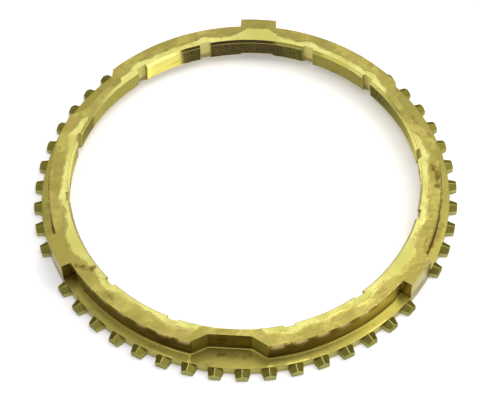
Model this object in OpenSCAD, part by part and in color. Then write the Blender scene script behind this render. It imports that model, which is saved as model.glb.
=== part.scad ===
// Synchronizer ring of a gearbox, forged and machined in one piece from brass.
// Millimetres. Z is the ring's axis, the flat gear-side face lies on Z = 0 and the origin is
// on the axis in that face. A pocket faces -Y and a lug faces +Y.

/* [Ring] */
// Bore diameter at the small end of the friction cone
bore_diameter = 106.4; // [70:0.2:140]
// Thickness of the upper wall at the small end of the cone
wall_thickness = 6.4; // [5:0.1:9]
// Height of the upper wall above the toothed flange
wall_height = 7.15; // [4:0.05:12]
// Height of the toothed flange where it meets the wall
flange_height = 3.35; // [2.8:0.05:5]
// Width of the flange outside the wall
flange_reach = 3; // [2:0.1:5]
// Fall of the flange's upper face towards its rim
flange_fall = 0.15; // [0.1:0.01:0.3]

/* [Friction cone] */
// Half angle of the friction cone
cone_angle = 6.5; // [4:0.1:9]
// Height of the lead-in chamfer above the cone
lead_height = 1; // [0.4:0.1:1.6]
// Width of the lead-in chamfer
lead_width = 0.6; // [0.2:0.05:1]
// Size of the chamfer at the large end of the cone
relief = 3.05; // [1:0.05:3.5]

/* [Oil grooves] */
// Width of each axial oil groove
groove_width = 3.3; // [1.5:0.1:4.5]
// Depth of each oil groove, square to the cone
groove_depth = 1.3; // [0.3:0.05:2.2]
// Angle from the middle of a groove pair to each of its grooves
groove_spread = 12; // [7:0.5:17]

/* [Teeth] */
// Places on the toothed rim, one of which is left bare at each lug
tooth_places = 51; // [39:6:57]
// Length of a tooth beyond the flange
tooth_length = 2.4; // [1.5:0.1:4]
// Width of a tooth at its root
tooth_root_width = 4.55; // [3:0.05:5.5]
// Width of a tooth at its tip
tooth_tip_width = 3.3; // [2:0.05:4.5]
// Slope of the two roof chamfers that meet in the tooth's ridge
roof_angle = 30; // [15:1:36]
// Fall of the ridge from the root to the tip
ridge_fall = 0.35; // [0.1:0.05:0.8]

/* [Pockets] */
// Width of a strut-key pocket at its mouth in the wall
pocket_mouth = 22.2; // [15:0.2:30]
// Width of a pocket at its back wall
pocket_back = 12.4; // [8:0.2:14]
// Thickness of the rim left between a pocket and the bore
pocket_rim = 2.55; // [1.8:0.05:3.5]

/* [Lugs] */
// Width of a lug
lug_width = 11.5; // [6:0.1:16]
// Width of the recess under a lug
recess_width = 10.6; // [4:0.1:16]
// Rise of the recess above the large end of the cone
recess_rise = 0.95; // [0.3:0.05:2]

/* [Hidden] */
$fn = 180;

// The pattern of a pocket and a lug repeats three times around the ring
repeats = 3;
// Overlap of joined solids and overrun of cuts
bite = 0.3;
over = 5;
// Step from the flange's rim down to the start of the ridges
ridge_step = 0.05;
// Least height of the pocket floor above the flange's rim
floor_step = 0.02;

bore_r = bore_diameter / 2;
wall_r = bore_r + wall_thickness;
root_r = wall_r + flange_reach;
tip_r = root_r + tooth_length;

ring_height = flange_height + wall_height;
rim_z = flange_height - flange_fall;
floor_z = rim_z + floor_step;
cone_top_z = ring_height - lead_height;
cone_bottom_r = cone_r(relief);
relief_r = cone_bottom_r + relief;

pitch_angle = 360 / tooth_places;
places_per_repeat = tooth_places / repeats;
ridge_z = rim_z - ridge_step;
ridge_angle = atan(ridge_fall / tooth_length);
tooth_taper = (tooth_root_width - tooth_tip_width) / tooth_length;

pocket_back_r = bore_r + pocket_rim;
pocket_mouth_half = max(pocket_mouth, pocket_back + 2) / 2;
pocket_mouth_angle = asin(pocket_mouth_half / wall_r);

recess_z = relief + recess_rise;

// Radius of the friction cone at a height
function cone_r(z) = bore_r + (cone_top_z - z) * tan(cone_angle);

// A point at a radius and an angle from the X axis
function polar(radius, angle) = [radius * cos(angle), radius * sin(angle)];

// Copies of a part that points along +X, turned to face -Y and its repeats
module at_pockets() {
    for (turn = [0 : repeats - 1])
        rotate(270 + turn * 360 / repeats)
            children();
}

// The same, halfway between the pockets
module at_lugs() {
    rotate(180 / repeats)
        at_pockets()
            children();
}

// Full-height turned blank with the friction cone and its two chamfers
module turned_blank() {
    rotate_extrude()
        polygon([
            [relief_r, 0],
            [root_r, 0],
            [root_r, ring_height],
            [bore_r + lead_width, ring_height],
            [bore_r, cone_top_z],
            [cone_bottom_r, relief]
        ]);
}

// What is cut from the blank to leave the upper wall and the toothed flange's sloping face
module shoulder() {
    slope = flange_fall / flange_reach;
    rotate_extrude()
        polygon([
            [wall_r, flange_height],
            [root_r + over, flange_height - slope * (flange_reach + over)],
            [root_r + over, ring_height + over],
            [wall_r, ring_height + over]
        ]);
}

// The places where the blank keeps its full height as a lug
module lug_blocks() {
    at_lugs()
        translate([bore_r, -lug_width / 2, 0])
            cube([root_r, lug_width, ring_height + 2 * over]);
}

// A tooth along +X: a tapering bar under two roof chamfers whose ridge falls towards the tip
module tooth() {
    root_half = tooth_root_width / 2;
    tip_half = tooth_tip_width / 2;
    inner_half = root_half + bite * tooth_taper / 2;
    eaves = tooth_root_width * tan(roof_angle);
    intersection() {
        linear_extrude(ring_height)
            polygon([
                [root_r - bite, -inner_half],
                [tip_r, -tip_half],
                [tip_r, tip_half],
                [root_r - bite, inner_half]
            ]);
        translate([root_r, 0, ridge_z])
            rotate([0, ridge_angle, 0])
                translate([-over, 0, 0])
                    rotate([90, 0, 90])
                        linear_extrude(tooth_length + 2 * over)
                            polygon([
                                [0, 0],
                                [-tooth_root_width, -eaves],
                                [-tooth_root_width, -ring_height],
                                [tooth_root_width, -ring_height],
                                [tooth_root_width, -eaves]
                            ]);
    }
}

// The toothed rim, starting half a pitch beside each pocket and leaving out the place at each lug
module teeth() {
    bare_place = (places_per_repeat - 1) / 2;
    at_pockets()
        for (place = [0 : places_per_repeat - 1])
            if (place != bare_place)
                rotate((place + 0.5) * pitch_angle)
                    tooth();
}

// A strut-key pocket along +X, open upwards and outwards, with slanted sides
module pocket() {
    outer_r = root_r + over;
    translate([0, 0, floor_z])
        linear_extrude(ring_height)
            polygon([
                [pocket_back_r, -pocket_back / 2],
                polar(wall_r, -pocket_mouth_angle),
                polar(outer_r, -pocket_mouth_angle),
                polar(outer_r, pocket_mouth_angle),
                polar(wall_r, pocket_mouth_angle),
                [pocket_back_r, pocket_back / 2]
            ]);
}

// An axial oil groove along +X, sunk to an even depth in the cone
module oil_groove() {
    translate([bore_r + groove_depth / cos(cone_angle), 0, cone_top_z])
        rotate([0, -cone_angle, 0])
            translate([-over, -groove_width / 2, -2 * ring_height])
                cube([over, groove_width, 4 * ring_height]);
}

// A pair of grooves between each pocket and the lug on either side of it
module oil_grooves() {
    for (middle = [1 : 2 * repeats], side = [-1, 1])
        rotate(middle * 180 / repeats + side * groove_spread)
            oil_groove();
}

// A recess in the gear-side face under a lug along +X, open to the bore
module lug_recess() {
    translate([bore_r - over, -recess_width / 2, -over])
        cube([relief_r - bore_r + over, recess_width, recess_z + over]);
}

module synchronizer_ring() {
    color([0.72, 0.65, 0.33])
        difference() {
            union() {
                difference() {
                    turned_blank();
                    difference() {
                        shoulder();
                        lug_blocks();
                    }
                }
                teeth();
            }
            at_pockets() pocket();
            oil_grooves();
            at_lugs() lug_recess();
        }
}

synchronizer_ring();
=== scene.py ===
"""Synchronizer ring: forged and turned brass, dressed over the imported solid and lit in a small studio."""

import math
from types import SimpleNamespace

import bmesh
import bpy
import numpy as np
from bpy.props import FloatProperty, FloatVectorProperty, IntProperty, PointerProperty
from mathutils import Matrix, Vector, noise


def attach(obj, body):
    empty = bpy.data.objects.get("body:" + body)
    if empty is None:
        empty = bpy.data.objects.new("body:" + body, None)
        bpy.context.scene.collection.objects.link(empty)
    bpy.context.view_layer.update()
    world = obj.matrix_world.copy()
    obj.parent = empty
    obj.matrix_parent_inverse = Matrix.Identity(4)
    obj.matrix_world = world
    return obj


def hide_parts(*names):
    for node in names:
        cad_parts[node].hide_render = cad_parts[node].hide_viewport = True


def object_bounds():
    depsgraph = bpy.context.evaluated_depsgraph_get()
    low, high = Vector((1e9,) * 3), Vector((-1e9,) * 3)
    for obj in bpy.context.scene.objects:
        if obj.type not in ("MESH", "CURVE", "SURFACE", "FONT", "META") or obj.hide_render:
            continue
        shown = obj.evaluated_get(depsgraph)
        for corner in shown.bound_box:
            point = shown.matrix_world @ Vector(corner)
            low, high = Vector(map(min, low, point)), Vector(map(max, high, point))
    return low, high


bl_info = {
    "name": "Synchronizer Ring",
    "version": (1, 0, 0),
    "blender": (4, 5, 0),
    "location": "View3D > Sidebar > Ring",
    "description": "Builds a brass synchronizer ring over its packed solid, with a studio around it",
    "category": "Add Mesh",
}

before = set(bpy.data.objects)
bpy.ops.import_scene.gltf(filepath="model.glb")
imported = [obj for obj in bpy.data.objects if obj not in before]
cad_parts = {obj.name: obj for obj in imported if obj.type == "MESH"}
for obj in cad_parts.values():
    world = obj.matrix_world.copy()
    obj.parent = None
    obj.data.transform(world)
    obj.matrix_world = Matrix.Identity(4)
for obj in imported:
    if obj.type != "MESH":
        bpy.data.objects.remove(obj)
CAD_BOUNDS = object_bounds()

NODE = "synchronizer_ring"
MM = 0.001
# How often the pattern of a pocket and a lug repeats around the ring
REPEATS = 3
# Angles of the pockets' and the lugs' middles, in degrees
POCKETS = [270 + 360 / REPEATS * i for i in range(REPEATS)]
LUGS = [place + 180 / REPEATS for place in POCKETS]
# Finishes of the brass, in the order of the ring's material slots
FINISHES = ("top", "wall", "flange", "lead", "cone", "groove", "milled")
# Angle about the ring's axis, in degrees, that faces the camera
FRONT = 276
# Edges that bend by more degrees than this are shaded sharp
SHARP_ANGLE = 38

# Facing cut on the top face: width of its plain band in mm, and how much wider it is at each groove
FACED_WIDTH = 2.15
GROOVE_FACING, GROOVE_FACING_ANGLE = 1.2, 2.8
# How much wider it is at each lug, as angle and mm
LUG_FACING = ((330, 2.3), (90, 3.4), (210, 1.7))
LUG_FACING_ANGLE = 6.5
# How far it draws back at a pocket, and the half angles where that is full and ends
POCKET_RETREAT, POCKET_RETREAT_ANGLES = 4.0, (6.5, 11.0)
# Waves of its border: how many around the ring, height in mm and phase
BORDER_WAVES = ((7, 0.15, 0.8), (17, 0.13, 2.1), (41, 0.1, 1.0))
# Distances outside the border between which the forged skin sinks below the cut, in mm
SKIN_EDGE = (-0.2, 0.9)
# Distance inside the border that is given to all that isn't the top face, in mm
NEVER_FACED = -5.0

# Quench stains on the top face and darker lines along its outer edge: angle and half width in degrees,
# radius and half width in mm, strength
STAINS = (
    (217.2, 0.8, 58.6, 1.0, 0.8), (218.8, 0.9, 57.2, 1.2, 0.9), (220.9, 1.0, 55.4, 1.6, 1.0),
    (231.8, 3.0, 57.6, 1.2, 0.45), (226.0, 4.0, 54.6, 0.9, 0.4), (359.5, 1.2, 58.4, 1.3, 0.9),
    (3.0, 2.6, 58.4, 1.1, 0.9), (6.0, 1.6, 57.2, 1.2, 0.8), (19.0, 1.8, 58.8, 0.8, 0.6),
    # the last two entries are the darker lines along the outer edge, at the left and the right
    (339.0, 3.0, 58.9, 0.6, 0.6), (188.0, 13.0, 59.5, 0.3, 0.9), (357.0, 16.0, 59.5, 0.3, 0.9),
)

# Darker marks outside the ring and a painted sheen on its wall, their angles being half angles where they
# are full and where they end
# Darker stretches of the wall: middle, both angles and depth
WALL_DARKENING = ((188, 14, 22, 0.8), (236, 12, 24, 0.75))
# Darker line along the wall's foot, left and right: middle and reach in mm
FOOT_LINE = ((188, 0.65), (357, 0.6))
FOOT_LINE_ANGLES, FOOT_LINE_DEPTH = (16, 24), 0.9
# Darker patch on each pocket's floor: distance from the back wall and half width in mm
POCKET_PATCH_PLACE, POCKET_PATCH_WIDTH = 2.2, 1.0
POCKET_PATCH_ANGLES, POCKET_PATCH_DEPTH = (3, 7), 0.42
# Stretch of the wall given a painted sheen above a height in mm
PAINTED_SHEEN_PLACE, PAINTED_SHEEN_ANGLES = 334, (18, 32)
PAINTED_SHEEN_HEIGHTS, PAINTED_SHEEN_DEPTH = (4.5, 6.0), 0.7
# The front of the flange, left without the corner's grime and painted shade
UNSHADED_FRONT_ANGLES = (42, 60)

# Inside the ring: darker on the front of the lead-in chamfer, and painted shade at the grooves' feet and in
# the recesses
LEAD_DARKENING_ANGLES, LEAD_DARKENING_DEPTH = (75, 100), 0.9
GROOVE_SHADE_HEIGHTS, GROOVE_SHADE_DEPTH = (3.3, 5.5), 0.7
RECESS_SHADE_DEPTH = 1.5
# Half angle of a lug's duller top
LUG_TONE_ANGLE = 9.0
# Where the thread runs on over the lead-in chamfer: middle and half angle
THREADED_LEAD, THREADED_LEAD_ANGLE = 86, 31
# Depth in mm from which a point counts as lying in a groove, and at which the thread has faded out
IN_GROOVE, THREAD_FADE = 0.02, 0.15

# Width of the photograph's frame in pixels and of the camera's sensor in mm
PHOTO_WIDTH, SENSOR_WIDTH = 480, 36.0
# Offset of the camera from the ring's origin, to the right and upwards, in mm
CAMERA_OFFSET = (-1.718, -2.289)
# Softboxes: azimuth off the camera's side, elevation, distance, width and depth in metres, radiance
SOFTBOXES = {
    "overhead": (112, 86, 1.0, 0.4, 0.95, 3.6),
    "back_softbox": (180, 55, 0.9, 0.9, 0.6, 0.88),
    "window": (43.5, 22, 0.9, 0.33, 0.75, 1.25),
    "right_softbox": (73.5, 22, 0.9, 0.6, 0.57, 0.43),
    "right_high": (101, 57, 0.9, 0.8, 0.45, 1.15),
    "floor_key": (96, 40, 0.9, 0.5, 0.4, 2.4),
    "left_softbox": (-60, 25, 0.9, 0.44, 0.55, 0.25),
    "left_high": (-90, 42, 0.9, 0.5, 0.45, 0.4),
}
# The softbox that lights the floor and isn't mirrored in the brass
FLOOR_KEY = "floor_key"
# Grey of the studio's surroundings by the sine of the elevation
SURROUNDINGS = ((0.0, 1.0), (0.1, 0.9), (0.2, 0.4), (0.35, 0.13), (0.9, 0.13))
# Dark flag on the camera's side: azimuth and elevation in degrees, distance, width and height in metres
FLAG_PLACE, FLAG_SIZE = (6.5, 32.5, 0.85), (0.86, 0.96)

# Kinds of node and settings that repeat
ATTRIBUTE, BUMP, MATH, MIX = "ShaderNodeAttribute", "ShaderNodeBump", "ShaderNodeMath", "ShaderNodeMix"
NOISE, RANGE, INTEGERS = "ShaderNodeTexNoise", "ShaderNodeMapRange", "FunctionNodeIntegerMath"
MULTIPLY, MULTIPLY_ADD = {"operation": "MULTIPLY"}, {"operation": "MULTIPLY_ADD"}
SMOOTH = {"interpolation_type": "SMOOTHSTEP"}
COLOURS = {"data_type": "RGBA"}
# How much longer the streaks of the worn finishes are than they are high
STREAK = 8.0
# Roughness of the forged skin and of the faced band
FORGED_ROUGHNESS, FACED_ROUGHNESS = 0.3, 0.21
# Worn finishes: material, its light and dark colours, length of the streaks in mm, least and greatest
# roughness, height of the lumps in mm
WORN = {
    # die-forged wall, browned by scale: dark and half glossy
    "wall": ("scaled_brass", "scaled_light", "scaled", 20.0, 0.16, 0.24, 0.05),
    # flange turned clean and handled since: an even olive satin
    "flange": ("turned_brass", "turned", "turned_shade", 10.0, 0.3, 0.36, 0.03),
    # lead-in chamfer bored clean: as pale and satin as the faced band that it borders
    "lead": ("bored_brass", "machined", "machined_dull", 6.0, 0.16, 0.22, 0.0),
    # oil grooves broached and left: matte and pale, with painted shade towards the foot
    "groove": ("broached_brass", "broached", "broached_shade", 3.0, 0.4, 0.48, 0.02),
    # cone cut with a fine thread whose flanks are bright as a mirror
    "cone": ("threaded_brass", "threaded", "threaded_shade", 20.0, 0.07, 0.11, 0.0),
}


# Settings that a user would change

def linear(hex_colour):
    """An sRGB hex value as linear RGBA."""
    channels = [int(hex_colour[i:i + 2], 16) / 255 for i in (1, 3, 5)]
    return tuple(c / 12.92 if c <= 0.04045 else ((c + 0.055) / 1.055) ** 2.4 for c in channels) + (1.0,)


def length(name, about, mm):
    """A length property whose default is given in millimetres."""
    return FloatProperty(name=name, description=about, default=mm * MM, min=0.0, precision=5, unit="LENGTH")


def angle(name, about, degrees):
    """An angle property whose default is given in degrees."""
    return FloatProperty(name=name, description=about, default=math.radians(degrees), subtype="ANGLE")


def colour(name, about, hex_colour):
    """A colour property whose default is an sRGB hex value."""
    return FloatVectorProperty(
        name=name, description=about, default=linear(hex_colour), size=4, min=0.0, max=1.0, subtype="COLOR"
    )


def factor(name, about, value, highest=1.0):
    """A plain number property."""
    return FloatProperty(name=name, description=about, default=value, min=0.0, max=highest)


class RingSizes(bpy.types.PropertyGroup):
    """Sizes of the ring's body: the solid's, then those of its finer details."""

    bore_diameter: length("Bore", "Bore diameter at the small end of the friction cone", 106.4)
    wall_thickness: length("Wall", "Thickness of the upper wall at the small end of the cone", 6.4)
    flange_height: length("Flange height", "Height of the flange where it meets the wall", 3.35)
    flange_reach: length("Flange reach", "Width of the flange outside the wall", 3.0)
    flange_fall: length("Flange fall", "Fall of the flange's face towards its rim", 0.15)
    floor_step: length("Pocket floor step", "Height of the pocket floor above the flange's rim", 0.02)
    cone_angle: angle("Cone angle", "Half angle of the friction cone", 6.5)
    lead_height: length("Lead-in height", "Height of the lead-in chamfer above the cone", 1.0)
    lead_width: length("Lead-in width", "Width of the lead-in chamfer", 0.6)
    relief: length("Relief", "Chamfer at the large end of the cone", 3.05)
    groove_width: length("Groove width", "Width of an axial oil groove", 3.3)
    groove_depth: length("Groove depth", "Depth of an axial oil groove", 1.3)
    groove_spread: angle("Groove spread", "Angle from the middle of a groove pair to each groove", 12.0)
    pocket_mouth: length("Pocket mouth", "Width of a strut-key pocket at the wall", 22.2)
    pocket_back: length("Pocket back", "Width of a strut-key pocket at its back wall", 12.4)
    pocket_rim: length("Pocket rim", "Rim left between a pocket and the bore", 2.55)
    lug_width: length("Lug width", "Width of a lug", 11.5)
    recess_width: length("Recess width", "Width of the recess under a lug", 10.6)
    recess_rise: length("Recess rise", "Rise of that recess above the large end of the cone", 0.95)
    # the thread is too fine to show turn by turn, so it is only as fine as its sheen needs
    thread_pitch: length("Thread pitch", "Spacing of the fine turned thread on the cone", 0.4)
    thread_land: length("Thread land", "Width of the land between two thread valleys", 0.012)
    thread_angle: angle("Thread angle", "Angle between the two flanks of the thread", 90.0)
    edge_round: length("Edge rounding", "Rounding of the forged edges", 0.07)
    foot_fillet: length("Foot fillet", "Fillet between the wall and the flange", 0.42)
    rim_round: length("Rim rounding", "Rounding of the flange's upper rim", 0.12)
    base_round: length("Base rounding", "Rounding of the flange's lower rim", 0.15)
    groove_round: length("Groove rounding", "Rounding of a groove's edges", 0.2)
    lip: length("Lip", "Flat of the top face beside the lead-in chamfer", 0.12)
    skin_depth: length("Skin depth", "How far the forged skin lies below the faced band", 0.06)
    skin_swell: length("Skin swell", "Height of the lumps on the forged skin", 0.04)
    skin_lump: length("Skin lump", "Distance between the lumps on the forged skin", 4.0)


class ToothSizes(bpy.types.PropertyGroup):
    """Sizes of the clutch teeth."""

    places: IntProperty(name="Places", description="Places on the toothed rim", default=51, min=9)
    tooth_length: length("Length", "Length of a tooth beyond the flange", 2.4)
    root_width: length("Root width", "Width of a tooth at its root", 4.55)
    tip_width: length("Tip width", "Width of a tooth at its tip", 3.3)
    roof_angle: angle("Roof angle", "Slope of the two chamfers that meet in the ridge", 30.0)
    ridge_fall: length("Ridge fall", "Fall of the ridge from root to tip", 0.35)
    ridge_step: length("Ridge step", "Step from the flange's rim down to the ridge", 0.05)
    bite: length("Bite", "How far a tooth reaches into the flange", 0.3)
    edge_round: length("Edge rounding", "Rounding of a tooth's edges", 0.1)


class BrassFinish(bpy.types.PropertyGroup):
    """Colours of the brass, by how each surface was made."""

    machined: colour("Machined", "Freshly faced brass", "#F0EA8E")
    machined_dull: colour("Machined lug", "Faced brass on the lugs, duller", "#D6CF70")
    forged: colour("Forged", "Forged skin", "#C8BB63")
    forged_shade: colour("Forged shade", "Darker patches of the forged skin", "#AB9E50")
    olive: colour("Olive", "Olive patches of the forged skin", "#A59B45")
    tan: colour("Tan", "Dull tan patches of the forged skin", "#BCA862")
    # this brown also paints shade: along the faced step, in corners, at the grooves' feet and above the
    # recesses
    stain: colour("Stain", "Brown tarnish and quench stains", "#6B5022")
    scaled: colour("Scaled", "Wall browned by scale", "#8E7A3A")
    scaled_light: colour("Scaled light", "Lighter patches of the wall", "#DCC870")
    turned: colour("Turned", "Turned flange", "#B4AA56")
    turned_shade: colour("Turned shade", "Darker patches of the turned flange", "#9E9449")
    threaded: colour("Threaded", "Fine turned thread of the cone", "#DDD060")
    threaded_shade: colour("Threaded shade", "Darker patches of the thread", "#CDC36E")
    broached: colour("Broached", "Oil grooves", "#D2CA7C")
    broached_shade: colour("Broached shade", "Darker patches of the oil grooves", "#BDB46A")
    milled: colour("Milled", "Milled roofs of the teeth", "#A89E48")
    milled_shade: colour("Milled shade", "Darker patches on the teeth", "#887E36")
    # the worn edges are lighter, partly as a painted highlight
    burnished_highlight: colour("Burnished", "Edges of the teeth, rubbed bright", "#B9B276")
    tip: colour("Tip", "Sides and ends of the teeth, left dull", "#AEB072")
    grazing: colour("Grazing tint", "Tint of the teeth where they are seen at a flat angle", "#4E4A20")


class StudioSettings(bpy.types.PropertyGroup):
    """Camera and light of the studio."""

    camera_turn: angle("Camera turn", "Turn of the camera about the ring, from facing a pocket", 6.356)
    camera_elevation: angle("Camera elevation", "Height of the camera above the horizon", 55.437)
    camera_roll: angle("Camera roll", "Roll of the camera", 2.373)
    camera_distance: length("Camera distance", "Distance of the camera from the ring's origin", 459.8)
    focal_pixels: factor("Focal length", "Focal length in pixels of the photograph's frame", 1486.1, 10000.0)
    floor_size: length("Floor size", "Side of the floor", 6000.0)
    floor_colour: colour("Floor", "Matte white floor", "#FFFEFF")
    floor_glow: factor("Floor glow", "Light that comes up through the floor", 0.3)
    flag_colour: colour("Flag", "Dark cloth on the camera's side", "#4B4458")


def half_angle(width, radius):
    """Half the angle, in degrees, that a width takes up at a radius."""
    return math.degrees(math.asin(width / 2 / radius))


def ring_sizes():
    """The ring's sizes in millimetres and degrees, with what follows from them."""
    given = bpy.context.scene.ring_sizes
    size = SimpleNamespace()
    for name, prop in given.bl_rna.properties.items():
        if prop.type == "FLOAT":
            value = getattr(given, name)
            setattr(size, name, value / MM if prop.unit == "LENGTH" else math.degrees(value))
    size.height = CAD_BOUNDS[1][2] / MM
    size.bore_r = size.bore_diameter / 2
    size.wall_r = size.bore_r + size.wall_thickness
    size.root_r = size.wall_r + size.flange_reach
    size.rim_z = size.flange_height - size.flange_fall
    size.floor_z = size.rim_z + size.floor_step
    size.cone_top_z = size.height - size.lead_height
    size.cone_slope = math.tan(math.radians(size.cone_angle))
    cone_spread = (size.cone_top_z - size.relief) * size.cone_slope
    size.relief_r = size.bore_r + cone_spread + size.relief
    size.pocket_back_r = size.bore_r + size.pocket_rim
    size.pocket_angle = half_angle(size.pocket_mouth, size.wall_r)
    # angles of the oil grooves' middles
    pairs = [180 / REPEATS * i for i in range(1, 2 * REPEATS + 1)]
    size.grooves = [pair + side * size.groove_spread for pair in pairs for side in (-1, 1)]
    return size


# Plan outlines

def polar(radius, degrees):
    """Points at a radius and one or more angles."""
    turn = np.radians(degrees)
    return np.stack([radius * np.cos(turn), radius * np.sin(turn)], -1)


def arc(radius, start, end, step=1.0):
    """Points along an arc about the ring's axis."""
    return polar(radius, np.linspace(start, end, max(2, math.ceil(abs(end - start) / step) + 1)))


def straight(start, end, step=0.6):
    """Points along a straight line."""
    start, end = np.asarray(start, float), np.asarray(end, float)
    count = max(2, math.ceil(np.linalg.norm(end - start) / step) + 1)
    return start + (end - start) * np.linspace(0, 1, count)[:, None]


def joined(runs, corners, steps=4):
    """Angles and radii of runs of points one after the other, with the corners between them rounded."""
    share = np.linspace(0, 1, steps + 1)[1:-1, None]
    parts = [runs[0]]
    for before, corner, after in zip(runs, corners, runs[1:]):
        bend = (1 - share) ** 2 * before[-1] + 2 * share * (1 - share) * corner + share ** 2 * after[0]
        parts += [bend, after]
    x, y = np.concatenate(parts).T
    return np.degrees(np.arctan2(y, x)), np.hypot(x, y)


def toward(point, target, distance):
    """The point that lies a distance from a point on the way to a target."""
    way = np.asarray(target, float) - point
    return point + way / np.linalg.norm(way) * distance


def wall_outline(size):
    """Angles from a pocket's middle and radii of the upper wall's outside, up to the middle of the lug."""
    edge = size.edge_round
    lug_middle = 180 / REPEATS
    lug_foot = lug_middle - half_angle(size.lug_width, size.wall_r)
    lug_corner = lug_middle - half_angle(size.lug_width, size.root_r)
    back_middle = [size.pocket_back_r, 0]
    back = np.array([size.pocket_back_r, size.pocket_back / 2])
    mouth = polar(size.wall_r, size.pocket_angle)
    foot = polar(size.wall_r, lug_foot)
    corner = polar(size.root_r, lug_corner)
    on_wall = math.degrees(edge / size.wall_r)
    on_lug = math.degrees(edge / size.root_r)
    back_run = straight(back_middle, toward(back, back_middle, edge))
    side_run = straight(toward(back, mouth, edge), toward(mouth, back, edge))
    wall_run = arc(size.wall_r, size.pocket_angle + on_wall, lug_foot - on_wall)
    lug_run = straight(toward(foot, corner, edge), toward(corner, foot, edge))
    end_run = arc(size.root_r, lug_corner + on_lug, lug_middle)
    return joined((back_run, side_run, wall_run, lug_run, end_run), (back, mouth, foot, corner))


def groove_outline(size):
    """Angles from a groove's middle and depths of the groove below the cone, a degree past its edge."""
    edge, half = size.groove_round, size.groove_width / 2
    floor_r = size.bore_r + size.groove_depth
    bottom = np.array([floor_r, half])
    lip = np.array([math.sqrt(size.bore_r ** 2 - half ** 2), half])
    lip_angle = half_angle(size.groove_width, size.bore_r)
    floor_run = straight([floor_r, 0], toward(bottom, [floor_r, 0], edge))
    side_run = straight(toward(bottom, lip, edge), toward(lip, bottom, edge))
    bore_run = arc(size.bore_r, lip_angle + math.degrees(edge / size.bore_r), lip_angle + 1)
    degrees, radius = joined((floor_run, side_run, bore_run), (bottom, lip))
    return degrees, radius - size.bore_r


def around(places, degrees, values):
    """A half outline and its mirror image at several places around the ring, sorted by angle."""
    degrees, values = np.concatenate([-degrees[:0:-1], degrees]), np.concatenate([values[:0:-1], values])
    turned = np.concatenate([(place + degrees) % 360 for place in places])
    order = np.argsort(turned)
    return turned[order], np.tile(values, len(places))[order]


def nearest(degrees, places):
    """Angle from each place to the nearest of several places."""
    away = (degrees[:, None] - np.asarray(places)[None, :] + 180) % 360 - 180
    return np.abs(away).min(1)


def smooth(value, low, high):
    """0 below low, 1 above high and an even S between them."""
    share = np.clip((value - low) / (high - low), 0, 1)
    return share * share * (3 - 2 * share)


def stretch(degrees, middles, full, ends):
    """1 up to a half angle from the nearest of several places, falling to 0 at a wider half angle."""
    return 1 - smooth(nearest(degrees, middles), full, ends)


# The ring's body

def machined_border(size, degrees):
    """Radius that the facing cut reached on the uneven forged top, wide at the lugs and the grooves."""
    groove = nearest(degrees, size.grooves)
    border = size.bore_r + FACED_WIDTH + GROOVE_FACING * np.exp(-(groove / GROOVE_FACING_ANGLE) ** 2)
    for place, reach in LUG_FACING:
        border = border + reach * np.exp(-(nearest(degrees, [place]) / LUG_FACING_ANGLE) ** 4)
    for waves, height, phase in BORDER_WAVES:
        border = border + height * np.sin(np.radians(degrees) * waves + phase)
    return border - POCKET_RETREAT * stretch(degrees, POCKETS, *POCKET_RETREAT_ANGLES)


def stain_depth(degrees, radii):
    """How deep the brown quench stains and the darker edge lines lie on the top face, from 0 to 1."""
    depth = np.zeros_like(radii)
    for place, reach, middle, width, strength in STAINS:
        away = (nearest(degrees, [place]) / reach) ** 2 + ((radii - middle) / width) ** 2
        depth = np.maximum(depth, strength * np.exp(-away))
    return depth


def quarter_round(steps=3):
    """Sine and versine along a quarter turn."""
    turn = np.linspace(0, math.pi / 2, steps + 1)
    return zip(np.sin(turn), 1 - np.cos(turn))


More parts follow.
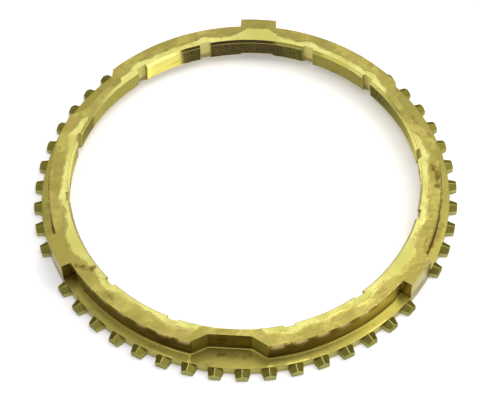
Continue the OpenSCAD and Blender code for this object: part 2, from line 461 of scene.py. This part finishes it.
def ring_section(size, degrees, wall, groove):
    """Rows of (radius, height, finish) around the section, each row running once round the ring.

    They start at the inner edge of the gear-side face and go out, up, in over the top and down the cone.
    """
    full = np.ones_like(degrees)
    rows = []

    def row(radius, height, finish):
        rows.append((radius * full, height * full, finish))

    reach = size.root_r - wall
    # the rim's rounding and the fillet leave each other room where the flange is narrow
    widest = reach * 0.45
    rim_round = np.minimum(size.rim_round, widest)
    fillet = np.minimum(size.foot_fillet, widest)
    in_pocket = stretch(degrees, POCKETS, size.pocket_angle - 0.05, size.pocket_angle + 0.1)
    recess_edges = [half_angle(size.recess_width, radius) for radius in (size.relief_r, size.bore_r)]
    under_lug = stretch(degrees, LUGS, *recess_edges)

    def flange_z(radius):
        fall = size.flange_fall * (radius - size.wall_r) / size.flange_reach
        sloping = size.flange_height - fall
        return sloping + (np.minimum(size.floor_z, sloping) - sloping) * in_pocket

    # gear-side face and the flange's rim
    row(size.relief_r, 0, "flange")
    row((size.relief_r + size.root_r) / 2, 0, "flange")
    base = size.base_round
    for sine, versine in quarter_round():
        row(size.root_r - base * (1 - sine), base * versine, "flange")
    rim_z = flange_z(size.root_r - rim_round)
    for sine, versine in quarter_round():
        row(size.root_r - rim_round * versine, rim_z - rim_round * (1 - sine), "flange")
    # flange, with a row close to the fillet
    outer, inner = size.root_r - rim_round, wall + fillet
    third = (inner - outer) / 3
    for radius in (outer + third, outer + 2 * third, inner + reach * 0.15):
        row(radius, flange_z(radius), "flange")
    foot = flange_z(inner)
    for sine, versine in quarter_round(6):
        row(wall + fillet * (1 - sine), foot + fillet * versine, "flange" if sine < 1 else "wall")
    # wall
    top, edge = size.height, size.edge_round
    low, high = foot + fillet, top - edge
    for share in (0.25, 0.5, 0.75):
        row(wall, low + (high - low) * share, "wall")
    for sine, versine in quarter_round():
        row(wall - edge * versine, top - edge * (1 - sine), "top")
    # top face, where a narrow row beside each edge keeps the shading of the flat from bending
    lead_r = size.bore_r + groove
    top_r = np.maximum(size.bore_r + size.lead_width, lead_r - size.lead_height * size.cone_slope)
    outer, inner = wall - edge, top_r + size.lip
    steps, beside_edge = 20, 0.03
    row(outer - beside_edge, top, "top")
    for step in range(1, steps):
        row(outer + (inner - outer) * step / steps, top, "top")
    row(inner + beside_edge, top, "top")
    row(inner, top, "top")
    # lead-in chamfer, with close rows at both ends
    for share in (0.04, 0.12, 0.9, 0.97):
        row(top_r + (lead_r - top_r) * share, top - size.lead_height * share, "lead")

    # cone with its thread, which keeps clear of both ends and fades out in the grooves
    def cone_r(height):
        return lead_r + (size.cone_top_z - height) * size.cone_slope

    clear = 0.03
    plain = 1 - np.clip(groove / THREAD_FADE, 0, 1)
    end = size.relief + under_lug * size.recess_rise
    start = size.cone_top_z - clear
    threaded = start - size.relief - 2 * clear
    turns = int(threaded / size.thread_pitch)
    pitch = threaded / turns
    land = size.thread_land
    depth = (pitch - land) / 2 / math.tan(math.radians(size.thread_angle / 2))
    for turn in range(turns):
        for drop, sink in ((0, 0), (land, 0), ((pitch + land) / 2, depth)):
            # rows that a recess cuts off lie close together above it
            lowest = end + 0.05 + 0.003 * (turns - turn) - 0.02 * drop * pitch
            height = np.maximum(start - turn * pitch - drop, lowest)
            row(cone_r(height) + sink * plain, height, "cone")
    row(cone_r(end + 0.04), end + 0.04, "cone")
    # chamfer at the large end, or the recess under a lug
    end_r = cone_r(end)
    share = 0.5 * (1 + under_lug)
    row(end_r, end, "flange")
    row(end_r + (size.relief_r - end_r) * share, end * share, "flange")
    return rows


def outside_grime_and_shade(size, degrees, wall, radii, heights, on_wall):
    """How deep the grime and painted shade lie on the wall and the flange, below 0 where the wall gets a
    painted sheen.
    """
    in_pocket = wall < size.wall_r - 0.5
    front = stretch(degrees, [FRONT], *UNSHADED_FRONT_ANGLES)
    # grime and painted shade in the corner between them fade along the flange and up the wall, sooner in the
    # pockets
    beside = np.maximum(radii - wall, 0) / np.where(in_pocket, 0.4, 0.5)
    above = np.maximum(heights - size.rim_z, 0) / np.where(in_pocket, 0.4, 1.5)
    grime = np.exp(-np.hypot(beside, above)) * np.where(on_wall, 1.0, 1 - front)
    for middle, full, ends, depth in WALL_DARKENING:
        grime = np.maximum(grime, depth * on_wall * stretch(degrees, [middle], full, ends))
    for middle, reach in FOOT_LINE:
        line = np.exp(-((radii - wall) / reach) ** 2) * ~on_wall
        grime = np.maximum(grime, FOOT_LINE_DEPTH * line * stretch(degrees, [middle], *FOOT_LINE_ANGLES))
    pocket_patch = np.exp(-((radii - wall - POCKET_PATCH_PLACE) / POCKET_PATCH_WIDTH) ** 2) * in_pocket
    grime = np.maximum(grime, POCKET_PATCH_DEPTH * pocket_patch * stretch(degrees, POCKETS, *POCKET_PATCH_ANGLES))
    painted_sheen = stretch(degrees, [PAINTED_SHEEN_PLACE], *PAINTED_SHEEN_ANGLES) * smooth(heights, *PAINTED_SHEEN_HEIGHTS)
    return grime - PAINTED_SHEEN_DEPTH * on_wall * painted_sheen


def grime_and_shade_depth(size, degrees, wall, groove, radii, heights, made):
    """How deep the grime and painted shade lie anywhere but on the top face."""
    on_wall, on_lead, on_cone = (made == finish for finish in ("wall", "lead", "cone"))
    outside = (on_wall | (made == "flange")) & (heights > size.relief)
    grime = outside_grime_and_shade(size, degrees, wall, radii, heights, on_wall) * outside
    # darker on the front of the lead-in chamfer, and painted shade at the grooves' feet and above the
    # recesses
    on_front = LEAD_DARKENING_DEPTH * stretch(degrees, [FRONT], *LEAD_DARKENING_ANGLES)
    groove_foot = GROOVE_SHADE_DEPTH * (1 - smooth(heights, *GROOVE_SHADE_HEIGHTS))
    # the cone's lowest rows above a recess
    cone_foot = np.where(on_cone, heights, np.inf).min(0)
    on_recess = on_cone & (heights < cone_foot + 0.12) & (cone_foot > size.relief + 0.3)
    places = [on_lead, on_cone & (groove > IN_GROOVE), on_recess]
    return np.select(places, [on_front, groove_foot, RECESS_SHADE_DEPTH], grime)


def face_finishes(size, degrees, wall, groove, radii, made):
    """Material slot of each face, by the point that it starts from."""
    finish = np.broadcast_to(made, radii.shape).copy()
    finish[(made == "top") & (radii > wall - size.edge_round * 0.9)] = "wall"
    # a pocket's slanted sides and a lug's end were cut clean with the flange
    slanted = (wall > size.pocket_back_r + 0.4) & (wall < size.wall_r - 0.1)
    lug_end = wall > size.root_r - 0.05
    finish[(slanted | lug_end) & (finish == "wall")] = "flange"
    finish[(nearest(degrees, [THREADED_LEAD]) < THREADED_LEAD_ANGLE) & (made == "lead")] = "cone"
    finish[(groove > IN_GROOVE) & ((made == "lead") | (made == "cone"))] = "groove"
    return np.array([FINISHES.index(name) for name in finish.flat], "i")


def ring_mesh(name):
    """The ring's body as one closed mesh, with attributes that its materials read."""
    size = ring_sizes()
    wall_degrees, wall_radii = around(POCKETS, *wall_outline(size))
    groove_degrees, groove_depths = around(size.grooves, *groove_outline(size))
    degrees = np.sort(np.concatenate([wall_degrees, groove_degrees]))
    # of columns that all but coincide, one stays
    degrees = degrees[np.concatenate([[True], np.diff(degrees) > 0.004])]
    wall = np.interp(degrees, wall_degrees, wall_radii, period=360)
    groove = np.interp(degrees, groove_degrees, groove_depths, period=360)
    radii, heights, made = (np.array(rows) for rows in zip(*ring_section(size, degrees, wall, groove)))
    made = made[:, None]

    on_top = made == "top"
    faced = np.where(on_top, machined_border(size, degrees) - radii, NEVER_FACED)
    plan = polar(radii, degrees)
    lump = size.skin_lump
    lumps = np.array([[noise.noise((x / lump, y / lump, 0)) for x, y in line] for line in plan])
    skin = smooth(-faced, *SKIN_EDGE) * on_top
    heights = heights - skin * (size.skin_depth + size.skin_swell * lumps)
    lug = np.exp(-(nearest(degrees, LUGS) / LUG_TONE_ANGLE) ** 2)
    marks = {
        "faced": faced,
        "stain": stain_depth(degrees, radii) * on_top,
        "lug": lug * np.ones_like(radii),
        "grime_and_shade": grime_and_shade_depth(size, degrees, wall, groove, radii, heights, made),
    }

    points = np.concatenate([plan, heights[..., None]], -1) * MM
    index = np.arange(radii.size).reshape(radii.shape)
    beside, above = np.roll(index, -1, 1), np.roll(index, -1, 0)
    faces = np.stack([index, beside, np.roll(beside, -1, 0), above], -1).reshape(-1, 4)
    mesh = bpy.data.meshes.new(name)
    mesh.from_pydata(points.reshape(-1, 3), [], faces)
    slots = face_finishes(size, degrees, wall, groove, radii, made)
    mesh.polygons.foreach_set("material_index", slots)
    for mark, values in marks.items():
        mesh.attributes.new(mark, "FLOAT", "POINT").data.foreach_set("value", values.reshape(-1))
    mesh.update()
    return mesh


# Nodes

def fill(node, **inputs):
    """Sets a node's inputs or links them to other nodes' outputs, by socket name or by index as i0, i1..."""
    for name, value in inputs.items():
        key = int(name[1:]) if name[0] == "i" and name[1:].isdigit() else name.replace("_", " ")
        if isinstance(value, bpy.types.NodeSocket):
            node.id_data.links.new(value, node.inputs[key])
        else:
            node.inputs[key].default_value = value


def add(tree, kind, gives=0, settings=None, **inputs):
    """Adds a node and returns one of its outputs, or the node itself where it has none.

    Settings are the node's properties. A Mix of colours takes them at i6 and i7 and gives output 2.
    """
    node = tree.nodes.new(kind)
    for name, value in (settings or {}).items():
        setattr(node, name, value)
    fill(node, **inputs)
    return node.outputs[gives] if node.outputs else node


# The clutch teeth

def tooth_mesh(name):
    """One clutch tooth along +X at its place on the rim, with softened edges."""
    size = ring_sizes()
    tooth = bpy.context.scene.tooth_sizes
    root_r, tip_r = size.root_r, size.root_r + tooth.tooth_length / MM
    slope = math.tan(tooth.roof_angle)
    fall = tooth.ridge_fall / tooth.tooth_length
    taper = (tooth.root_width - tooth.tip_width) / tooth.tooth_length / 2
    ridge = size.rim_z - tooth.ridge_step / MM
    mesh = bmesh.new()
    side, worn = mesh.faces.layers.float.new("side"), mesh.faces.layers.float.new("worn")
    ends = []
    for x in (root_r - tooth.bite / MM, tip_r):
        half = tooth.root_width / 2 / MM - (x - root_r) * taper
        top = ridge - (x - root_r) * fall
        eaves = top - half * slope
        outline = [(-half, 0), (half, 0), (half, eaves), (0, top), (-half, eaves)]
        ends.append([mesh.verts.new(Vector((x, y, z)) * MM) for y, z in outline])
    inner, outer = ends
    mesh.faces.new(outer)
    mesh.faces.new(inner[::-1])
    for i in range(len(inner)):
        j = (i + 1) % len(inner)
        mesh.faces.new([inner[i], inner[j], outer[j], outer[i]])
    edges = [edge for edge in mesh.edges if not all(vert in inner for vert in edge.verts)]
    rounds = bmesh.ops.bevel(
        mesh, geom=edges, offset=tooth.edge_round, offset_type="OFFSET", segments=3, profile=0.5,
        affect="EDGES", clamp_overlap=True,
    )
    bmesh.ops.recalc_face_normals(mesh, faces=mesh.faces)
    # faces that look up are roofs, and the others count as sides
    for face in mesh.faces:
        face[side] = 1.0 - smooth(face.normal.z, 0.3, 0.6)
    # rounded edges are worn, and their lighter colour is also a painted highlight
    for face in rounds["faces"]:
        face[worn] = 1.0
    result = bpy.data.meshes.new(name)
    mesh.to_mesh(result)
    mesh.free()
    return result


def teeth_tree():
    """Geometry nodes that repeat the input tooth around the rim and leave a place bare at each lug."""
    tree = bpy.data.node_groups.new("Clutch teeth", "GeometryNodeTree")
    tree.interface.new_socket("Geometry", in_out="OUTPUT", socket_type="NodeSocketGeometry")
    for name, kind in (
        ("Tooth", "Geometry"), ("Places", "Int"), ("Places per pocket", "Int"),
        ("First tooth", "Float"), ("Pitch", "Float"), ("Brass", "Material"),
    ):
        tree.interface.new_socket(name, in_out="INPUT", socket_type="NodeSocket" + kind)
    given = tree.nodes.new("NodeGroupInput").outputs
    per_pocket = given["Places per pocket"]
    points = add(tree, "GeometryNodePoints", Count=given["Places"])
    number = add(tree, "GeometryNodeInputIndex")
    in_repeat = add(tree, INTEGERS, 0, {"operation": "MODULO"}, i0=number, i1=per_pocket)
    middle = add(tree, INTEGERS, 0, {"operation": "DIVIDE_FLOOR"}, i0=per_pocket, i1=2)
    differs = {"data_type": "INT", "operation": "NOT_EQUAL"}
    toothed = add(tree, "FunctionNodeCompare", 0, differs, A=in_repeat, B=middle)
    turn = add(tree, MATH, 0, MULTIPLY_ADD, i0=number, i1=given["Pitch"], i2=given["First tooth"])
    spin = add(tree, "ShaderNodeCombineXYZ", Z=turn)
    placed = add(
        tree, "GeometryNodeInstanceOnPoints",
        Points=points, Selection=toothed, Instance=given["Tooth"], Rotation=spin,
    )
    real = add(tree, "GeometryNodeRealizeInstances", Geometry=placed)
    brass = add(tree, "GeometryNodeSetMaterial", Geometry=real, Material=given["Brass"])
    add(tree, "NodeGroupOutput", Geometry=brass)
    return tree


# Materials

def new_material(name, metallic=1.0):
    """A material with its tree, its Principled shader and the object coordinates."""
    material = bpy.data.materials.new(name)
    material.use_nodes = True
    tree = material.node_tree
    shader = tree.nodes["Principled BSDF"]
    shader.inputs["Metallic"].default_value = metallic
    return material, tree, shader, add(tree, "ShaderNodeTexCoord", "Object")


def per_mm(mm):
    """Noise scale, per metre, of a pattern whose features are this many millimetres apart."""
    return 1 / (mm * MM)


def forged_brass(finish):
    """Closed-die forged brass: a dull, mottled skin with brown stains, bright where the cut faced it, with a
    painted shadow along the step where the cut ended.
    """
    material, tree, shader, place = new_material("forged_brass")
    border, stain, lug = (
        add(tree, ATTRIBUTE, "Fac", {"attribute_name": name}) for name in ("faced", "stain", "lug")
    )
    drift = add(tree, NOISE, "Fac", Vector=place, Scale=per_mm(6.0), Detail=3.0)
    mottle = add(tree, NOISE, "Fac", Vector=place, Scale=per_mm(2.0), Detail=4.0, Roughness=0.65)
    dull = add(tree, NOISE, "Fac", Vector=place, Scale=per_mm(4.5), Detail=4.0, Roughness=0.6)
    grain = add(tree, NOISE, "Fac", Vector=place, Scale=per_mm(0.8), Detail=5.0, Roughness=0.65)

    # the cut fades out over the lumps of the skin
    rise = add(tree, MATH, 0, MULTIPLY_ADD, i0=grain, i1=0.3, i2=mottle)
    wander = add(tree, RANGE, Value=rise, From_Min=0.4, From_Max=0.9, To_Min=-0.6, To_Max=0.6)
    reach = add(tree, MATH, 0, {"operation": "ADD"}, i0=border, i1=wander)
    faced = add(tree, RANGE, 0, SMOOTH, Value=reach, From_Min=-0.7, From_Max=0.4)
    # the skin has darker, olive and tan patches, and is darkest on the lugs
    patches = add(tree, RANGE, 0, SMOOTH, Value=drift, From_Min=0.36, From_Max=0.64)
    skin = add(tree, MIX, 2, COLOURS, Factor=patches, i6=finish.forged_shade, i7=finish.forged)
    is_olive = add(tree, RANGE, 0, SMOOTH, Value=mottle, From_Min=0.5, From_Max=0.66, To_Max=0.75)
    skin = add(tree, MIX, 2, COLOURS, Factor=is_olive, i6=skin, i7=finish.olive)
    is_tan = add(tree, RANGE, 0, SMOOTH, Value=dull, From_Min=0.5, From_Max=0.65, To_Max=0.6)
    skin = add(tree, MIX, 2, COLOURS, Factor=is_tan, i6=skin, i7=finish.tan)
    skin = add(tree, MIX, 2, COLOURS, Factor=lug, i6=skin, i7=finish.forged_shade)
    worn = add(tree, RANGE, 0, SMOOTH, Value=drift, From_Min=0.4, From_Max=0.65)
    worn = add(tree, MATH, 0, {"operation": "MAXIMUM"}, i0=worn, i1=lug)
    bright = add(tree, MIX, 2, COLOURS, Factor=worn, i6=finish.machined, i7=finish.machined_dull)
    metal = add(tree, MIX, 2, COLOURS, Factor=faced, i6=skin, i7=bright)
    # a painted shadow lies along the step where the cut ended, and dirt lies in the stains and in the pits
    ledge_shadow = add(tree, MATH, 0, {"operation": "ABSOLUTE"}, i0=reach)
    ledge_shadow = add(tree, RANGE, 0, SMOOTH, Value=ledge_shadow, From_Max=0.35, To_Min=1.0, To_Max=0.0)
    shadow_patches = add(tree, RANGE, 0, SMOOTH, Value=dull, From_Min=0.4, From_Max=0.7, To_Max=0.6)
    ledge_shadow = add(tree, MATH, 0, MULTIPLY, i0=ledge_shadow, i1=shadow_patches)
    broken = add(tree, RANGE, Value=grain, From_Min=0.35, From_Max=0.65, To_Min=0.3, To_Max=1.3)
    soaked = add(tree, MATH, 0, MULTIPLY, i0=stain, i1=broken)
    stained = add(tree, RANGE, 0, SMOOTH, Value=soaked, From_Min=0.1, From_Max=0.7, To_Max=0.85)
    pits = add(tree, RANGE, 0, SMOOTH, Value=grain, From_Min=0.62, From_Max=0.76, To_Max=0.6)
    for dirt_and_shadow in (ledge_shadow, stained, pits):
        metal = add(tree, MIX, 2, COLOURS, Factor=dirt_and_shadow, i6=metal, i7=finish.stain)

    # the cut is glossier and more even than the skin
    rough = add(tree, RANGE, Value=faced, To_Min=FORGED_ROUGHNESS, To_Max=FACED_ROUGHNESS)
    strength = add(tree, RANGE, Value=faced, To_Min=1.0, To_Max=0.3)
    swell = add(tree, NOISE, "Fac", Vector=place, Scale=per_mm(1.6), Detail=1.5, Roughness=0.5)
    level = add(tree, BUMP, Height=swell, Strength=strength, Distance=0.12 * MM)
    fill(shader, Base_Color=metal, Roughness=rough, Normal=level)
    return material


def worn_brass(finish, name, light, shade, patch, smoothest, roughest, swell):
    """Bare brass whose colour, gloss and level drift in streaks around the ring, with grime and painted
    shade in corners and a painted sheen in places.
    """
    material, tree, shader, place = new_material(name)
    place = add(tree, "ShaderNodeMapping", Vector=place, Scale=(1.0, 1.0, STREAK))
    grime_and_shade = add(tree, ATTRIBUTE, "Fac", {"attribute_name": "grime_and_shade"})
    drift = add(tree, NOISE, "Fac", Vector=place, Scale=per_mm(patch), Detail=4.0, Roughness=0.6)
    grain = add(tree, NOISE, "Fac", Vector=place, Scale=per_mm(patch / 4), Detail=2.0, Roughness=0.6)
    # below zero the attribute says where the surface gets a painted sheen
    painted_sheen = add(tree, MATH, 0, {"operation": "MINIMUM"}, i0=grime_and_shade, i1=0.0)
    tone = add(tree, MATH, 0, MULTIPLY_ADD, i0=painted_sheen, i1=-0.8, i2=drift)
    metal = add(tree, MIX, 2, COLOURS, Factor=tone, i6=getattr(finish, shade), i7=getattr(finish, light))
    # the attribute's grime and painted shade mix in the stain colour
    soaked = add(tree, MATH, 0, MULTIPLY_ADD, i0=grime_and_shade, i1=0.45, i2=grain)
    grime = add(tree, RANGE, 0, SMOOTH, Value=soaked, From_Min=0.55, From_Max=0.92, To_Max=0.85)
    metal = add(tree, MIX, 2, COLOURS, Factor=grime, i6=metal, i7=finish.stain)
    rough = add(tree, RANGE, Value=drift, From_Min=0.3, From_Max=0.7, To_Min=smoothest, To_Max=roughest)
    fill(shader, Base_Color=metal, Roughness=rough)
    if swell:
        rise = add(tree, MATH, 0, MULTIPLY_ADD, i0=grain, i1=0.2, i2=drift)
        fill(shader, Normal=add(tree, BUMP, Height=rise, Distance=swell * MM))
    return material


def milled_brass(finish):
    """Milled tooth brass: mottled roofs between dull sides and ends, with a worn line along each edge that
    is lightened as a painted highlight.
    """
    material, tree, shader, place = new_material("milled_brass")
    side, worn = (add(tree, ATTRIBUTE, "Fac", {"attribute_name": name}) for name in ("side", "worn"))
    drift = add(tree, NOISE, "Fac", Vector=place, Scale=per_mm(1.8), Detail=4.0, Roughness=0.65)
    metal = add(tree, MIX, 2, COLOURS, Factor=drift, i6=finish.milled_shade, i7=finish.milled)
    grime = add(tree, RANGE, 0, SMOOTH, Value=drift, From_Min=0.55, From_Max=0.75, To_Max=0.5)
    for share, over in ((side, finish.tip), (grime, finish.stain), (worn, finish.burnished_highlight)):
        metal = add(tree, MIX, 2, COLOURS, Factor=share, i6=metal, i7=over)
    rough = add(tree, RANGE, Value=worn, To_Min=0.42, To_Max=0.34)
    level = add(tree, BUMP, Height=drift, Distance=0.03 * MM)
    fill(shader, Base_Color=metal, Roughness=rough, Normal=level, Specular_Tint=finish.grazing)
    return material


def studio_paper(studio):
    """Matte white paper with a faint fibre, drawn coarser than a real one, which would not show."""
    material, tree, shader, place = new_material("studio_paper", metallic=0.0)
    fibre = add(tree, NOISE, "Fac", Vector=place, Scale=per_mm(1.5), Detail=3.0)
    level = add(tree, BUMP, Height=fibre, Distance=0.01 * MM, Strength=0.3)
    fill(shader, Base_Color=studio.floor_colour, Roughness=0.8, Normal=level)
    fill(shader, Emission_Color=studio.floor_colour, Emission_Strength=studio.floor_glow)
    return material


def flag_cloth(studio):
    """Dark, matte cloth of the flag, its weave drawn coarser than a real one, which would not show."""
    material, tree, shader, place = new_material("flag_cloth", metallic=0.0)
    weave = add(tree, NOISE, "Fac", Vector=place, Scale=per_mm(4.0))
    level = add(tree, BUMP, Height=weave, Distance=0.2 * MM)
    fill(shader, Base_Color=studio.flag_colour, Roughness=1.0, Normal=level)
    return material


# Operators

def settle(piece):
    """Turns a piece's modifiers into its plain mesh."""
    graph = bpy.context.evaluated_depsgraph_get()
    mesh = bpy.data.meshes.new_from_object(
        piece.evaluated_get(graph), preserve_all_data_layers=True, depsgraph=graph
    )
    piece.modifiers.clear()
    piece.data = mesh


def place_object(name, data):
    """A new object in the scene, at the origin."""
    piece = bpy.data.objects.new(name, data)
    bpy.context.collection.objects.link(piece)
    return piece


class RING_OT_build_ring(bpy.types.Operator):
    """Build the brass ring with its clutch teeth"""

    bl_idname = "ring.build_ring"
    bl_label = "Synchronizer Ring"

    def execute(self, context):
        finish = context.scene.brass_finish
        tooth = context.scene.tooth_sizes
        brass = {"top": forged_brass(finish)}
        for name, settings in WORN.items():
            brass[name] = worn_brass(finish, *settings)
        brass["milled"] = milled_brass(finish)
        ring = place_object("synchronizer_ring_brass", ring_mesh("synchronizer_ring_brass"))
        for name in FINISHES:
            ring.data.materials.append(brass[name])

        teeth = place_object("clutch_teeth", tooth_mesh("clutch_tooth"))
        tree = teeth_tree()
        pitch = 2 * math.pi / tooth.places
        modifier = teeth.modifiers.new("Clutch teeth", "NODES")
        modifier.node_group = tree
        sockets = {item.name: item.identifier for item in tree.interface.items_tree}
        for name, value in (
            ("Places", tooth.places),
            ("Places per pocket", tooth.places // REPEATS),
            ("First tooth", math.radians(POCKETS[0]) + pitch / 2),
            ("Pitch", pitch),
            ("Brass", brass["milled"]),
        ):
            modifier[sockets[name]] = value
        settle(teeth)

        with context.temp_override(active_object=ring, selected_editable_objects=[ring, teeth]):
            bpy.ops.object.join()
        ring.data.shade_smooth()
        ring.data.set_sharp_from_angle(angle=math.radians(SHARP_ANGLE))
        shading = ring.modifiers.new("Even shading", "WEIGHTED_NORMAL")
        shading.mode = "FACE_AREA"
        shading.keep_sharp = True
        shading.weight = 90
        settle(ring)
        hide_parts(NODE)
        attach(ring, "root")
        return {"FINISHED"}


def facing(azimuth, elevation, distance):
    """A matrix that looks at the ring from an azimuth off the camera's side and an elevation, in degrees."""
    turn = bpy.context.scene.studio.camera_turn + math.radians(270 + azimuth)
    rise = math.radians(elevation)
    way = Vector((math.cos(rise) * math.cos(turn), math.cos(rise) * math.sin(turn), math.sin(rise)))
    place = way * distance
    return Matrix.Translation(place) @ (-place).to_track_quat("-Z", "Y").to_matrix().to_4x4()


def softbox(name, azimuth, elevation, distance, width, depth, radiance):
    """A rectangular area light aimed at the ring."""
    light = bpy.data.lights.new(name, "AREA")
    light.shape = "RECTANGLE"
    light.size, light.size_y = width, depth
    light.energy = radiance * width * depth * math.pi
    lamp = place_object(name, light)
    lamp.matrix_world = facing(azimuth, elevation, distance)
    lamp.visible_glossy = name != FLOOR_KEY


def sheet(name, width, height, material):
    """A flat rectangle about the origin."""
    x, y = width / 2, height / 2
    mesh = bpy.data.meshes.new(name)
    mesh.from_pydata([(-x, -y, 0), (x, -y, 0), (x, y, 0), (-x, y, 0)], [], [(0, 1, 2, 3)])
    mesh.materials.append(material)
    return place_object(name, mesh)


def surroundings():
    """A grey world, bright near the horizon and dark above."""
    world = bpy.data.worlds.new("studio")
    world.use_nodes = True
    tree = world.node_tree
    way = add(tree, "ShaderNodeTexCoord", "Generated")
    rise = add(tree, "ShaderNodeSeparateXYZ", "Z", Vector=way)
    grey = add(tree, "ShaderNodeValToRGB", Fac=rise)
    elements = grey.node.color_ramp.elements
    while len(elements) < len(SURROUNDINGS):
        elements.new(0.5)
    for element, (position, level) in zip(elements, SURROUNDINGS):
        element.position, element.color = position, (level, level, level, 1)
    fill(tree.nodes["Background"], Color=grey)
    return world


def photo_camera(studio):
    """A camera at the photograph's angle."""
    data = bpy.data.cameras.new("camera")
    data.sensor_fit = "HORIZONTAL"
    data.sensor_width = SENSOR_WIDTH
    data.lens = studio.focal_pixels / PHOTO_WIDTH * SENSOR_WIDTH
    data.clip_start, data.clip_end = 0.01, 50
    camera = place_object("camera", data)
    rise, roll = studio.camera_elevation, studio.camera_roll
    back = Vector((0, -math.cos(rise), math.sin(rise)))
    across, upright = Vector((1, 0, 0)), Vector((0, math.sin(rise), math.cos(rise)))
    right = across * math.cos(roll) - upright * math.sin(roll)
    up = across * math.sin(roll) + upright * math.cos(roll)
    rightwards, upwards = (offset * MM for offset in CAMERA_OFFSET)
    spot = back * studio.camera_distance + across * rightwards + upright * upwards
    axes = Matrix((right, up, back)).transposed().to_4x4()
    camera.matrix_world = Matrix.Rotation(studio.camera_turn, 4, "Z") @ Matrix.Translation(spot) @ axes
    return camera


class RING_OT_build_studio(bpy.types.Operator):
    """Set up the floor, the softboxes and the camera"""

    bl_idname = "ring.build_studio"
    bl_label = "Studio"

    def execute(self, context):
        studio = context.scene.studio
        floor = sheet("floor", studio.floor_size, studio.floor_size, studio_paper(studio))
        context.scene.world = surroundings()
        flag = sheet("flag", *FLAG_SIZE, flag_cloth(studio))
        flag.matrix_world = facing(*FLAG_PLACE)
        flag.visible_camera = False
        for name, settings in SOFTBOXES.items():
            softbox(name, *settings)
        context.scene.camera = photo_camera(studio)
        context.scene.view_settings.view_transform = "Standard"
        context.scene.view_settings.look = "None"
        return {"FINISHED"}


class RING_PT_panel(bpy.types.Panel):
    """Sidebar panel with the ring's sizes, finish and studio"""

    bl_idname = "RING_PT_panel"
    bl_label = "Synchronizer Ring"
    bl_space_type = "VIEW_3D"
    bl_region_type = "UI"
    bl_category = "Ring"

    def draw(self, context):
        for group in GROUPS:
            column = self.layout.column(align=True)
            column.label(text=group.replace("_", " ").capitalize())
            settings = getattr(context.scene, group)
            for name in settings.__annotations__:
                column.prop(settings, name)
        for operator in (RING_OT_build_ring, RING_OT_build_studio):
            self.layout.operator(operator.bl_idname)


GROUPS = {
    "ring_sizes": RingSizes, "tooth_sizes": ToothSizes, "brass_finish": BrassFinish, "studio": StudioSettings
}
CLASSES = (*GROUPS.values(), RING_OT_build_ring, RING_OT_build_studio, RING_PT_panel)


def register():
    """Registers the classes and puts the settings on the scene."""
    for item in CLASSES:
        bpy.utils.register_class(item)
    for name, group in GROUPS.items():
        setattr(bpy.types.Scene, name, PointerProperty(type=group))


def unregister():
    """Takes the settings off the scene and the classes out again."""
    for name in GROUPS:
        delattr(bpy.types.Scene, name)
    for item in reversed(CLASSES):
        bpy.utils.unregister_class(item)


def main():
    """Builds the ring and the studio."""
    register()
    bpy.ops.ring.build_ring()
    bpy.ops.ring.build_studio()


if __name__ == "__main__":
    main()
